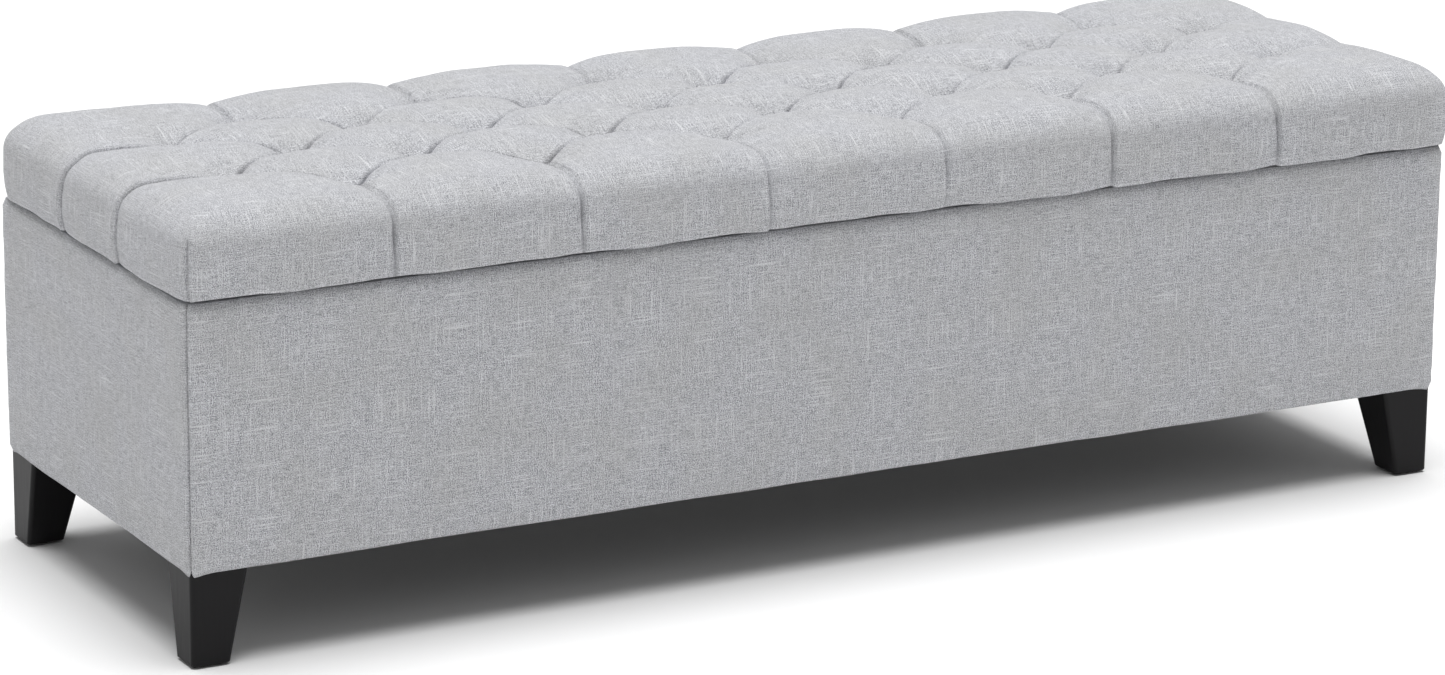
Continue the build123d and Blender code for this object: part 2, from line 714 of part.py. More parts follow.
for side, sign in ENDS:
    lower_arm = stay_arm(sign, lower_arm_x, base_pivot, elbow, pivot_hole, fixed_hole)
    lower_arm.label = f"stay_lower_arm_{side}"
    export_step(lower_arm, f"parts/stay_lower_arm_{side}.step")

    upper_arm = stay_arm(sign, upper_arm_x, lid_pivot, elbow, pivot_hole, elbow_hole)
    upper_arm.label = f"stay_upper_arm_{side}"
    export_step(upper_arm, f"parts/stay_upper_arm_{side}.step")

    elbow_heads = (lower_arm_x + STAY_ARM, upper_arm_x - 0.2 - RIVET_HEAD)
    elbow_rivet = rivet(sign, elbow, upper_arm_x - 0.2, lower_arm_x + STAY_ARM, elbow_heads)
    elbow_rivet.label = f"stay_elbow_rivet_{side}"
    export_step(elbow_rivet, f"parts/stay_elbow_rivet_{side}.step")

with BuildPart() as stay_base_rivets:
    for _, sign in ENDS:
        add(
            rivet(
                sign,
                base_pivot,
                lower_arm_x - 0.2,
                bracket_x + STAY_ARM,
                (lower_arm_x - 0.2 - RIVET_HEAD,),
            )
        )
stay_base_rivets.part.label = "stay_base_rivets"
export_step(stay_base_rivets.part, "parts/stay_base_rivets.step")

with BuildPart() as stay_lid_rivets:
    for _, sign in ENDS:
        rivet_end = upper_arm_x + STAY_ARM + 0.2
        add(rivet(sign, lid_pivot, lid_bracket_x, rivet_end, (lid_bracket_x - RIVET_HEAD, rivet_end)))
stay_lid_rivets.part.label = "stay_lid_rivets"
export_step(stay_lid_rivets.part, "parts/stay_lid_rivets.step")

# The base brackets are plates screwed through the lining into the end panels.
base_screw_places = [
    (base_pivot[0], base_pivot[1] + offset) for offset in (-BRACKET_SCREW_OFFSET, BRACKET_SCREW_OFFSET)
]
with BuildPart() as stay_base_brackets:
    for _, sign in ENDS:
        with BuildSketch(end_plane(sign, bracket_x, STAY_ARM)):
            with Locations(base_pivot):
                RectangleRounded(BRACKET_WIDTH, BRACKET_HEIGHT, BRACKET_CORNER)
                Circle(fixed_hole, mode=Mode.SUBTRACT)
            with Locations(*base_screw_places):
                Circle(SCREW_RADIUS + RUNNING_CLEARANCE, mode=Mode.SUBTRACT)
        extrude(amount=STAY_ARM)
        with BuildSketch(end_plane(sign, bracket_x, STAY_SCREW_HEAD)):
            with Locations(*base_screw_places):
                Circle(SCREW_HEAD_RADIUS + RUNNING_CLEARANCE)
        extrude(amount=STAY_SCREW_HEAD, mode=Mode.SUBTRACT)
stay_base_brackets.part.label = "stay_base_brackets"
export_step(stay_base_brackets.part, "parts/stay_base_brackets.step")

with BuildPart() as stay_base_screws:
    for _, sign in ENDS:
        shank_start = bracket_x + STAY_SCREW_HEAD
        with BuildSketch(end_plane(sign, bracket_x, STAY_SCREW_HEAD)):
            with Locations(*base_screw_places):
                Circle(SCREW_HEAD_RADIUS)
        extrude(amount=STAY_SCREW_HEAD)
        with BuildSketch(end_plane(sign, shank_start, STAY_SCREW)):
            with Locations(*base_screw_places):
                Circle(SCREW_RADIUS)
        extrude(amount=STAY_SCREW)
stay_base_screws.part.label = "stay_base_screws"
export_step(stay_base_screws.part, "parts/stay_base_screws.step")

# The lid brackets are angles: one flange screwed under the lid, the other carrying the pivot.
FLANGE_REACH = 25.0
FLANGE = 2.0
flange_low = lid_board_bottom - LINING - FLANGE
flange_middle_x = lid_bracket_x + STAY_ARM - FLANGE_REACH / 2
lid_screw_places = [
    (sign * (flange_middle_x - 2.0), lid_pivot[0] + offset) for _, sign in ENDS for offset in (-9.0, 9.0)
]
with BuildPart() as stay_lid_brackets:
    for _, sign in ENDS:
        upright_height = flange_low + FLANGE - lid_pivot[1]
        with BuildSketch(end_plane(sign, lid_bracket_x, STAY_ARM)):
            with Locations((lid_pivot[0], lid_pivot[1] + upright_height / 2)):
                Rectangle(BRACKET_WIDTH, upright_height)
            with Locations(lid_pivot):
                Circle(BRACKET_WIDTH / 2)
                Rectangle(BRACKET_WIDTH, BRACKET_WIDTH / 2, align=(Align.CENTER, Align.MIN))
                Circle(fixed_hole, mode=Mode.SUBTRACT)
        extrude(amount=STAY_ARM)
        with BuildSketch(Plane.XY.offset(flange_low)):
            with Locations((sign * flange_middle_x, lid_pivot[0])):
                Rectangle(FLANGE_REACH, BRACKET_WIDTH)
        extrude(amount=FLANGE)
    with Locations(*[(x, y, flange_low + FLANGE / 2) for x, y in lid_screw_places]):
        Cone(
            SCREW_HEAD_RADIUS + RUNNING_CLEARANCE,
            SCREW_RADIUS + RUNNING_CLEARANCE,
            FLANGE,
            mode=Mode.SUBTRACT,
        )
stay_lid_brackets.part.label = "stay_lid_brackets"
export_step(stay_lid_brackets.part, "parts/stay_lid_brackets.step")

with BuildPart() as stay_lid_screws:
    with Locations(*[(x, y, flange_low + FLANGE / 2) for x, y in lid_screw_places]):
        Cone(SCREW_HEAD_RADIUS, SCREW_RADIUS, FLANGE)
    with BuildSketch(Plane.XY.offset(flange_low + FLANGE)):
        with Locations(*lid_screw_places):
            Circle(SCREW_RADIUS)
    extrude(amount=STAY_SCREW)
stay_lid_screws.part.label = "stay_lid_screws"
export_step(stay_lid_screws.part, "parts/stay_lid_screws.step")
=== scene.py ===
import math
import random

import bmesh
import bpy
import numpy as np
from mathutils import Matrix, Vector, noise


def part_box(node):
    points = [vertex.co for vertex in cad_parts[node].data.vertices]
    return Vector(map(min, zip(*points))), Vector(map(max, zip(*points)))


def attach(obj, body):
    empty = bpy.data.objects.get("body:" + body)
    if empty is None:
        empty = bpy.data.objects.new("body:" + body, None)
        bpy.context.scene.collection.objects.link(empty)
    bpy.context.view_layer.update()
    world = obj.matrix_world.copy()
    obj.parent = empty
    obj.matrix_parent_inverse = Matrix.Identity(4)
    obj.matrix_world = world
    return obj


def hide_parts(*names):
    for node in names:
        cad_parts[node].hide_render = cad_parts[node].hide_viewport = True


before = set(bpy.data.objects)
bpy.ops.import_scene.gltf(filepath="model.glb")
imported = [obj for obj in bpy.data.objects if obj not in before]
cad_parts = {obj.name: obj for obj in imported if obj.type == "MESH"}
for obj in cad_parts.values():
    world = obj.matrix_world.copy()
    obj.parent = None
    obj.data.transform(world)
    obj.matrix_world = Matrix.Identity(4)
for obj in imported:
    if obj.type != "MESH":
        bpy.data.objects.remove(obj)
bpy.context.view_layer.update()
scene = bpy.context.scene
MM = 0.001


# ---------------------------------------------------------------- camera
# A long lens, a little above the bench and to the left of its front. Its place is in metres, its
# angles are in radians, and the lens and its sensor are in millimetres.

CAMERA_PLACE = Vector((-2.3056, -4.2047, 1.4990))
CAMERA_TURN = 0.4985
CAMERA_TILT = 0.2718
CAMERA_ROLL = 0.0091
LENS_LENGTH = 132.64
SENSOR_WIDTH = 36.0
FARTHEST_SEEN = 60.0

lens = bpy.data.cameras.new("camera")
lens.lens = LENS_LENGTH
lens.sensor_width = SENSOR_WIDTH
lens.clip_end = FARTHEST_SEEN
camera = bpy.data.objects.new("camera", lens)
scene.collection.objects.link(camera)
aim = Vector((
    math.sin(CAMERA_TURN) * math.cos(CAMERA_TILT),
    math.cos(CAMERA_TURN) * math.cos(CAMERA_TILT),
    -math.sin(CAMERA_TILT),
))
camera.location = CAMERA_PLACE
level = aim.to_track_quat("-Z", "Y").to_matrix()
camera.rotation_euler = (level @ Matrix.Rotation(CAMERA_ROLL, 3, "Z")).to_euler()
scene.camera = camera


# ---------------------------------------------------------------- lid pad
# A foam slab on a board, under one piece of linen-look cloth that twine ties pull down into the
# foam. The spare cloth lies in folds from tuft to tuft, and from the outer tufts over the edge.

TUFT_COLUMNS = 6
TUFT_ROWS = 4
TIE_THICKNESS = 2 * MM

# The mesh is finest between the tufts, and is pulled together at the folds.
FOLD_STEPS = 24
SIDE_STEPS = 26
LONG_EDGE_STEPS = 16
END_STEPS = 10
FOLD_PULL = 0.88
FOLD_PULL_REACH = 24 * MM
TOUCHING = 1e-6

# The foam's edge, rounded across the top and down the side, and its rounded square corners.
EDGE_ACROSS = 34 * MM
EDGE_DOWN = 32 * MM
CORNER_ZONE = 60 * MM
CORNER_SQUARENESS = 6

# How deep a fold and its sharp crease lie, in metres, by the distance from a tuft. A pleat is a
# fold that runs from an outer tuft over the edge.
FOLD_DEPTH = ((0, 0.0160), (0.015, 0.0135), (0.03, 0.0105), (0.055, 0.0070))
FOLD_CREASE = ((0, 0.002), (0.004, 0.0120), (0.020, 0.0085), (0.034, 0.0030), (0.055, 0.0008))
PLEAT_DEPTH = (
    (0, 0.0130),
    (0.02, 0.0110),
    (0.05, 0.0090),
    (0.09, 0.0060),
    (0.13, 0.0034),
    (0.15, 0.0012),
    (0.17, 0.0008),
)
PLEAT_CREASE = ((0, 0.001), (0.006, 0.0100), (0.03, 0.0090), (0.09, 0.0085), (0.17, 0.0085))
PUFF_REACH = 54 * MM
EDGE_PUFF_REACH = 72 * MM
PUFF_ROUNDNESS = 2.2
LEAST_FOLD, MOST_FOLD = 0.85, 1.15
DEEPEST = 27 * MM

# At a crease one side stands higher and laps over the other.
CREASE_OFFSET = 0.5 * MM
CREASE_WIDTH = 1.1 * MM
STEP_SHARE = 0.24
STEP_REACH = 10 * MM
STEP_WIDTH = 1 * MM
LAP_SHARE = 0.12
LAP_WIDTH = 1.4 * MM

# A tuft is a narrow pit in a wide dip, with small folds round it like rays.
PIT_DEPTH = 12 * MM
PIT_WIDTH = 7 * MM
PIT_TAKES_IN = 0.7
DIP_DEPTH = 15 * MM
DIP_REACH = 60 * MM
DIP_ROUNDNESS = 2.4
WRINKLE_RAYS = 11
WRINKLE_HEIGHT = 1.3 * MM
WRINKLE_REACH = 60 * MM
WRINKLE_FADE = ((0, 0), (0.008, 1), (0.018, 0.7), (0.055, 0))
FULL_TURN = 6.28

# Folds wander sideways away from the tufts, and the foam is a little uneven.
WANDER = 2.6 * MM
WANDER_SIZE = 50 * MM
HELD_BY_TUFT = 22 * MM
UNEVENNESS = ((1.8 * MM, 120 * MM, 3), (0.5 * MM, 30 * MM, 4))

# The side, by the share of its height: it swells above the board and draws in to the hem.
SIDE_SWELL = (
    (0.0, -0.0026),
    (0.06, -0.0012),
    (0.16, 0.0003),
    (0.3, 0.0010),
    (0.6, 0.0),
    (1.0, 0.0),
)
CROWN_DROP = 4.5 * MM
CROWN_REACH = 35 * MM
SEAM_GROOVE = 3.6 * MM
SEAM_WIDTH = 0.06
SEAM_TOP = 0.74
SEAM_FADE = 0.1
DIAGONAL = 0.7071
BOARD_HEIGHT = 19 * MM
BOARD_STOPS_AT = 4.8 * MM
HEM_SHARE = 0.35
HEM_WANDER = 1.3 * MM
HEM_DROP = 0.4 * MM
PLEAT_LIFT = 0.35
PLEAT_LIFT_LIMIT = 5 * MM
HEM_TURNS = ((6 * MM, -0.2 * MM), (26 * MM, 0.0), (26 * MM, 1.2 * MM))


def rectangle_block(low, high):
    """A plain block between two corners, made from the cube operator."""
    bm = bmesh.new()
    bmesh.ops.create_cube(bm, size=1.0)
    bmesh.ops.scale(bm, vec=high - low, verts=bm.verts)
    bmesh.ops.translate(bm, vec=(high + low) / 2, verts=bm.verts)
    return bm


def cut_across(bm, axis, places):
    """Cuts the whole mesh with planes square to one axis."""
    normal = Vector([float(index == axis) for index in range(3)])
    for place in places:
        everything = bm.verts[:] + bm.edges[:] + bm.faces[:]
        bmesh.ops.bisect_plane(bm, geom=everything, plane_co=normal * place, plane_no=normal)


def divide_along(bm, axis, low, high, parts):
    """Divides every edge that runs along an axis, between two places on it, into equal parts."""
    chosen = []
    for edge in bm.edges:
        a, b = edge.verts[0].co, edge.verts[1].co
        along = abs(a[axis] - b[axis])
        middle = (a[axis] + b[axis]) / 2
        if along > 0.9 * (a - b).length and low < middle < high:
            chosen.append(edge)
    bmesh.ops.subdivide_edges(bm, edges=chosen, cuts=parts - 1, use_grid_fill=True)


def points_of(bm):
    """A bmesh's points as an array, a row for each."""
    return np.array([vert.co for vert in bm.verts], float)


def put_points(bm, points):
    """Moves a bmesh's points to the rows of an array."""
    for vert, point in zip(bm.verts, points):
        vert.co = point


def wave(points, scale, seed):
    """Smooth noise at each point, about -1 to 1, with features of the given size."""
    shift = Vector((seed * 7.3, seed * 3.1, seed * 5.7))
    return np.array([noise.noise(Vector(point) / scale + shift) for point in points])


def bell(distance, width):
    """1 where the distance is 0, fading smoothly to 0 on both sides."""
    return np.exp(-((distance / width) ** 2))


def read_curve(where, curve):
    """A curve's value at each place; the curve is given as pairs of place and value."""
    return np.interp(where, *zip(*curve))


pad_low, pad_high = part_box("lid_cover")
tie_low, tie_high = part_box("tuft_ties")
pad_middle = (pad_low.y + pad_high.y) / 2
pad_drop = pad_high.z - pad_low.z
half_x = (pad_high.x - pad_low.x) / 2
half_y = (pad_high.y - pad_low.y) / 2
pitch = (tie_high.x - tie_low.x - TIE_THICKNESS) / TUFT_COLUMNS
row_gap = (tie_high.y - tie_low.y - TIE_THICKNESS) / TUFT_ROWS

# Tufts, numbered by row from the middle; odd rows have one tuft more.
last_row = TUFT_ROWS // 2
tufts = {}
for row in range(-last_row, last_row + 1):
    count = TUFT_COLUMNS + row % 2
    for column in range(count):
        tufts[row, column] = np.array([(column - (count - 1) / 2) * pitch, row * row_gap])

# Folds: each runs from a tuft to a tuft of the next row, half a pitch to one side of it, or from
# an outer tuft down the side. Only the longer rows reach the two ends.
folds = []
for (row, _), start in tufts.items():
    for (other_row, _), end in tufts.items():
        if other_row == row + 1 and abs(end[0] - start[0]) < 0.6 * pitch:
            folds.append((start, end, True))
for (row, column), start in tufts.items():
    if abs(row) == last_row:
        front_or_back = math.copysign(half_y + pad_drop, row)
        folds.append((start, np.array([start[0], front_or_back]), False))
    if row % 2 and column in (0, TUFT_COLUMNS):
        left_or_right = math.copysign(half_x + pad_drop, start[0])
        folds.append((start, np.array([left_or_right, start[1]]), False))


def beside_fold(spread, start, end):
    """Signed distance of each point of the laid-out cloth from a fold, how far along the fold it
    is, the direction across the fold, and the fold's length."""
    line = end - start
    length = np.linalg.norm(line)
    line = line / length
    across = np.array([-line[1], line[0]])
    offset = spread - start
    along = offset @ line
    beyond = np.maximum(0, np.maximum(-along, along - length))
    side = offset @ across
    return np.copysign(np.hypot(side, beyond), side), np.clip(along, 0, length), across, length


def from_tufts(spread):
    """Distance of each point of the laid-out cloth from the nearest tuft."""
    return np.min([np.hypot(*(spread - place).T) for place in tufts.values()], axis=0)


def pulled_together(spread):
    """How far each mesh point shifts towards the nearest fold, where the detail is."""
    nearest = np.full(len(spread), FOLD_PULL_REACH)
    shift = np.zeros_like(spread)
    for start, end, _ in folds:
        distance, _, across, _ = beside_fold(spread, start, end)
        size = np.abs(distance)
        near = size < nearest
        pull = FOLD_PULL * distance * (1 - size / FOLD_PULL_REACH) ** 2
        shift[near] = -pull[near, None] * across
        nearest[near] = size[near]
    return shift


def pad_relief(spread):
    """How deep the cloth lies below the puffs' crests, its sideways lap over each crease, and the
    extra cloth that each crease and tuft takes in, as a shift of the weave. Valleys that meet are
    blended by adding their cubes."""
    rng = random.Random(4)
    valley = np.zeros(len(spread))
    crease = np.zeros(len(spread))
    step = np.zeros(len(spread))
    lap = np.zeros_like(spread)
    taken_in = np.zeros_like(spread)
    for start, end, inner in folds:
        distance, along, across, length = beside_fold(spread, start, end)
        size = np.abs(distance)
        lean = rng.choice((-1, 1))
        vary = rng.uniform(LEAST_FOLD, MOST_FOLD)
        if inner:
            reach = PUFF_REACH
            from_end = np.minimum(along, length - along)
            deep = read_curve(from_end, FOLD_DEPTH)
            sharp = read_curve(from_end, FOLD_CREASE)
        else:
            reach = EDGE_PUFF_REACH
            deep = read_curve(along, PLEAT_DEPTH)
            sharp = read_curve(along, PLEAT_CREASE)
        valley += (deep * vary * np.maximum(0, 1 - size / reach) ** PUFF_ROUNDNESS) ** 3
        toward = distance * lean
        sharp_part = sharp * bell(toward + CREASE_OFFSET, CREASE_WIDTH)
        crease = np.maximum(crease, sharp_part)
        taken_in -= (np.sign(distance) * sharp_part)[:, None] * across
        higher_side = np.where(toward > 0, 1, -1)
        side_step = higher_side * np.exp(-size / STEP_REACH) * (1 - np.exp(-size / STEP_WIDTH))
        step += STEP_SHARE * sharp * side_step
        over = bell(toward - LAP_WIDTH, LAP_WIDTH) * LAP_SHARE * sharp
        lap -= (over * lean)[:, None] * across
    for place in tufts.values():
        offset = spread - place
        away = np.hypot(*offset.T)
        pit = PIT_DEPTH * np.exp(-away / PIT_WIDTH)
        dip = DIP_DEPTH * np.maximum(0, 1 - away / DIP_REACH) ** DIP_ROUNDNESS
        valley += (pit + dip) ** 3
        taken_in -= (PIT_TAKES_IN * pit / np.maximum(away, TOUCHING))[:, None] * offset
    return np.minimum(np.cbrt(valley) + crease - step, DEEPEST), lap, taken_in


def tuft_wrinkles(spread):
    """Small uneven folds that spread like rays from each tuft and fade out on the puffs."""
    height = np.zeros(len(spread))
    rng = random.Random(11)
    for place in tufts.values():
        offset = spread - place
        away = np.hypot(*offset.T)
        near = away < WRINKLE_REACH
        angle = np.arctan2(offset[near, 1], offset[near, 0])
        first, second = rng.uniform(0, FULL_TURN), rng.uniform(0, FULL_TURN)
        spacing = 1.7 * np.sin(angle * 2 + second)
        strength = 0.6 + 0.4 * np.sin(angle * 5 + second)
        rays = np.sin(angle * WRINKLE_RAYS + first + spacing) * strength
        height[near] += WRINKLE_HEIGHT * rays * read_curve(away[near], WRINKLE_FADE)
    return height


bm = rectangle_block(pad_low, pad_high)
bmesh.ops.translate(bm, vec=(0, -pad_middle, 0), verts=bm.verts)
inner_x = (TUFT_COLUMNS + 1) * pitch / 2
inner_y = (TUFT_ROWS - 1) * row_gap
cut_across(bm, 0, (-inner_x, inner_x))
cut_across(bm, 1, (-inner_y, inner_y))
underside = [face for face in bm.faces if face.normal.z < -0.5]
bmesh.ops.delete(bm, geom=underside, context="FACES")
divide_along(bm, 2, pad_low.z, pad_high.z, SIDE_STEPS)
divide_along(bm, 1, -inner_y, inner_y, (TUFT_ROWS - 1) * 2 * FOLD_STEPS)
divide_along(bm, 1, -half_y, -inner_y, LONG_EDGE_STEPS)
divide_along(bm, 1, inner_y, half_y, LONG_EDGE_STEPS)
divide_along(bm, 0, -half_x, -inner_x, END_STEPS)
divide_along(bm, 0, inner_x, half_x, END_STEPS)
divide_along(bm, 0, -inner_x, inner_x, (TUFT_COLUMNS + 1) * 2 * FOLD_STEPS)

# Each top face is split along the way the nearest fold runs, so that no fold is jagged.
for face in [face for face in bm.faces if face.normal.z > 0.5]:
    middle = face.calc_center_median()
    cell = math.floor(middle.x / (pitch / 2)) + math.floor(middle.y / row_gap)
    slope = 1 if cell % 2 else -1
    ordered = sorted(face.verts, key=lambda vert: vert.co.x + slope * vert.co.y)
    bmesh.utils.face_split(face, ordered[0], ordered[-1])

# The cloth laid out flat: the top, with each side folded out beside it.
points = points_of(bm)
drop = pad_high.z - points[:, 2]
on_long_side = np.abs(points[:, 1]) > half_y - TOUCHING
on_end = (np.abs(points[:, 0]) > half_x - TOUCHING) & ~on_long_side
spread = points[:, :2].copy()
spread[on_long_side, 1] += np.copysign(drop, points[:, 1])[on_long_side]
spread[on_end, 0] += np.copysign(drop, points[:, 0])[on_end]
shift = pulled_together(spread)
spread += shift
depth, lap, taken_in = pad_relief(spread)
weave_shift = shift + taken_in
cloth = bm.loops.layers.uv.new("cloth")
bm.verts.index_update()
for face in bm.faces:
    normal = face.normal
    for loop in face.loops:
        x, y, z = loop.vert.co
        fall = pad_high.z - z
        if abs(normal.y) > 0.5:
            y += math.copysign(fall, normal.y)
        elif abs(normal.x) > 0.5:
            x += math.copysign(fall, normal.x)
        drawn = weave_shift[loop.vert.index]
        loop[cloth].uv = (x + drawn[0], y + drawn[1])

# The folds wander a little between the tufts and lap over at their creases.
here = np.column_stack([spread, np.zeros(len(spread))])
free = 1 - bell(from_tufts(spread), HELD_BY_TUFT)
sway = np.column_stack([wave(here, WANDER_SIZE, seed) for seed in (1, 2)])
placed = spread + sway * (WANDER * free)[:, None] + lap

# Rounded over the edge: "inward" is the way in from the edge along the cloth, negative down the
# side. The corner is a rounded square at every level.
half = np.array([half_x, half_y])
gap = half - np.abs(placed)
fall = np.maximum(0, -gap.min(axis=1))
inward = np.where(fall > 0, -fall, gap.min(axis=1))
past_edge = np.where(inward > 0, 1 - inward / EDGE_ACROSS, 1 - inward / EDGE_DOWN)
turn = np.clip(past_edge * 0.5, 0, 1) * math.pi / 2
rolled = (inward < EDGE_ACROSS) & (inward > -EDGE_DOWN)
set_in = np.where(rolled, EDGE_ACROSS * (1 - np.sin(turn)), np.maximum(inward, 0))
level = np.where(rolled, EDGE_DOWN * (1 - np.cos(turn)), fall)
into_corner = np.maximum(0, CORNER_ZONE - np.maximum(gap, 0))
norm = np.sum(into_corner**CORNER_SQUARENESS, axis=1) ** (1 / CORNER_SQUARENESS)
in_zone = norm > 0
into_corner *= np.where(in_zone, (CORNER_ZONE - set_in) / np.where(in_zone, norm, 1), 1)[:, None]
plan = np.where(
    in_zone[:, None] & (into_corner > 0),
    np.sign(placed) * (half - CORNER_ZONE + into_corner),
    placed,
)
sideways = np.sign(placed) * into_corner ** (CORNER_SQUARENESS - 1)
size = np.linalg.norm(sideways, axis=1)
sideways /= np.where(size > 0, size, 1)[:, None]
outward = np.column_stack([sideways * np.sin(turn)[:, None], np.cos(turn)])
rounded = np.column_stack([plan, pad_high.z - level])

height = tuft_wrinkles(spread) - depth
height += sum(rise * wave(here, width, seed) for rise, width, seed in UNEVENNESS)

# The corner seams are grooves, and the board's edge stops the cloth from being drawn in further.
up_side = (rounded[:, 2] - pad_low.z) / pad_drop
corner_turn = np.abs(sideways).min(axis=1)
below_seam_top = np.clip((SEAM_TOP - up_side) / SEAM_FADE, 0, 1)
seam = bell(corner_turn - DIAGONAL, SEAM_WIDTH) * (SEAM_GROOVE * below_seam_top)
pushed = height + read_curve(up_side, SIDE_SWELL) - seam
on_board = rounded[:, 2] < pad_low.z + BOARD_HEIGHT
pushed[on_board] = np.maximum(pushed[on_board], -BOARD_STOPS_AT)
points = rounded + outward * pushed[:, None]

# The top falls away a little towards the edge, and the hem is uneven, higher at each pleat.
crown = CROWN_DROP * np.exp(-np.maximum(inward, 0) / CROWN_REACH)
points[:, 2] -= crown * np.clip((up_side - HEM_SHARE) / (1 - HEM_SHARE), 0, 1)
near_hem = np.clip(1 - up_side / HEM_SHARE, 0, 1)
lift = HEM_WANDER * wave(rounded, WANDER_SIZE, 6) - HEM_DROP
points[:, 2] += near_hem * (lift + PLEAT_LIFT * np.clip(depth, 0, PLEAT_LIFT_LIMIT))
points[:, 1] += pad_middle
put_points(bm, points)

# The hem turns under the board and is closed off above the lining.
for inset, rise in HEM_TURNS:
    rim = [edge for edge in bm.edges if edge.is_boundary]
    made = bmesh.ops.extrude_edge_only(bm, edges=rim)
    for vert in (item for item in made["geom"] if isinstance(item, bmesh.types.BMVert)):
        vert.co.x = max(pad_low.x + inset, min(pad_high.x - inset, vert.co.x))
        vert.co.y = max(pad_low.y + inset, min(pad_high.y - inset, vert.co.y))
        vert.co.z = pad_low.z + rise
rim = [edge for edge in bm.edges if edge.is_boundary]
bmesh.ops.edgeloop_fill(bm, edges=rim)
bmesh.ops.recalc_face_normals(bm, faces=bm.faces)
for face in bm.faces:
    face.smooth = True
    if face.normal.z < -0.9:
        for loop in face.loops:
            loop[cloth].uv = (loop.vert.co.x, loop.vert.co.y)


def finished(bm, name, material, body):
    """Turns a bmesh into a named piece that wears a material and rides on a body."""
    mesh = bpy.data.meshes.new(name)
    bm.to_mesh(mesh)
    bm.free()
    piece = bpy.data.objects.new(name, mesh)
    scene.collection.objects.link(piece)
    mesh.materials.append(material)
    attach(piece, body)
    return piece


# Linen-look polyester: a plain weave of grey and white yarns with thin slubs both ways. The
# yarns are drawn 1.1 mm apart, nearly twice as coarse as real ones, so that they show. A yarn's
# shade lasts for ten widths and a slub for fifty-five. Patches are 70 mm wide.

YARN = 1.1 * MM
SHADE_RUN = 10
SLUB_RUN = 55
PATCHES = (14.0, 14.0, 1.0)


def linear(hex_colour):
    """An sRGB hex colour as linear red, green, blue and alpha."""
    channels = [int(hex_colour[index : index + 2], 16) / 255 for index in (1, 3, 5)]
    return [c / 12.92 if c <= 0.04045 else ((c + 0.055) / 1.055) ** 2.4 for c in channels] + [1.0]


def set_inputs(tree, node, **inputs):
    """Gives a node's sockets their values, or links them to a socket or to a node's first output.
    Underscores in a socket's name stand for spaces, and _0 means the first socket."""
    for key, value in inputs.items():
        socket = node.inputs[int(key[1:])] if key[0] == "_" else node.inputs[key.replace("_", " ")]
        if isinstance(value, bpy.types.Node):
            value = value.outputs[0]
        if isinstance(value, bpy.types.NodeSocket):
            tree.links.new(value, socket)
        else:
            socket.default_value = value


def add_node(tree, kind, settings=None, **inputs):
    """Adds a shader node; settings are its properties, inputs its sockets' values or links."""
    made = tree.nodes.new(kind)
    for key, value in (settings or {}).items():
        setattr(made, key, value)
    set_inputs(tree, made, **inputs)
    return made


def new_material(name):
    """A material whose tree holds only a Principled shader and the output."""
    material = bpy.data.materials.new(name)
    material.use_nodes = True
    tree = material.node_tree
    tree.nodes.clear()
    shader = add_node(tree, "ShaderNodeBsdfPrincipled")
    add_node(tree, "ShaderNodeOutputMaterial", Surface=shader)
    return material, tree, shader


def stretched_noise(tree, place, scales, detail=1.0, flat=True):
    """Noise drawn out along one direction, as threads or grain; scales are features a metre."""
    scaled = add_node(tree, "ShaderNodeVectorMath", {"operation": "MULTIPLY"}, _0=place, _1=scales)
    kind = {"noise_dimensions": "2D" if flat else "3D"}
    return add_node(tree, "ShaderNodeTexNoise", kind, Vector=scaled, Scale=1.0, Detail=detail)


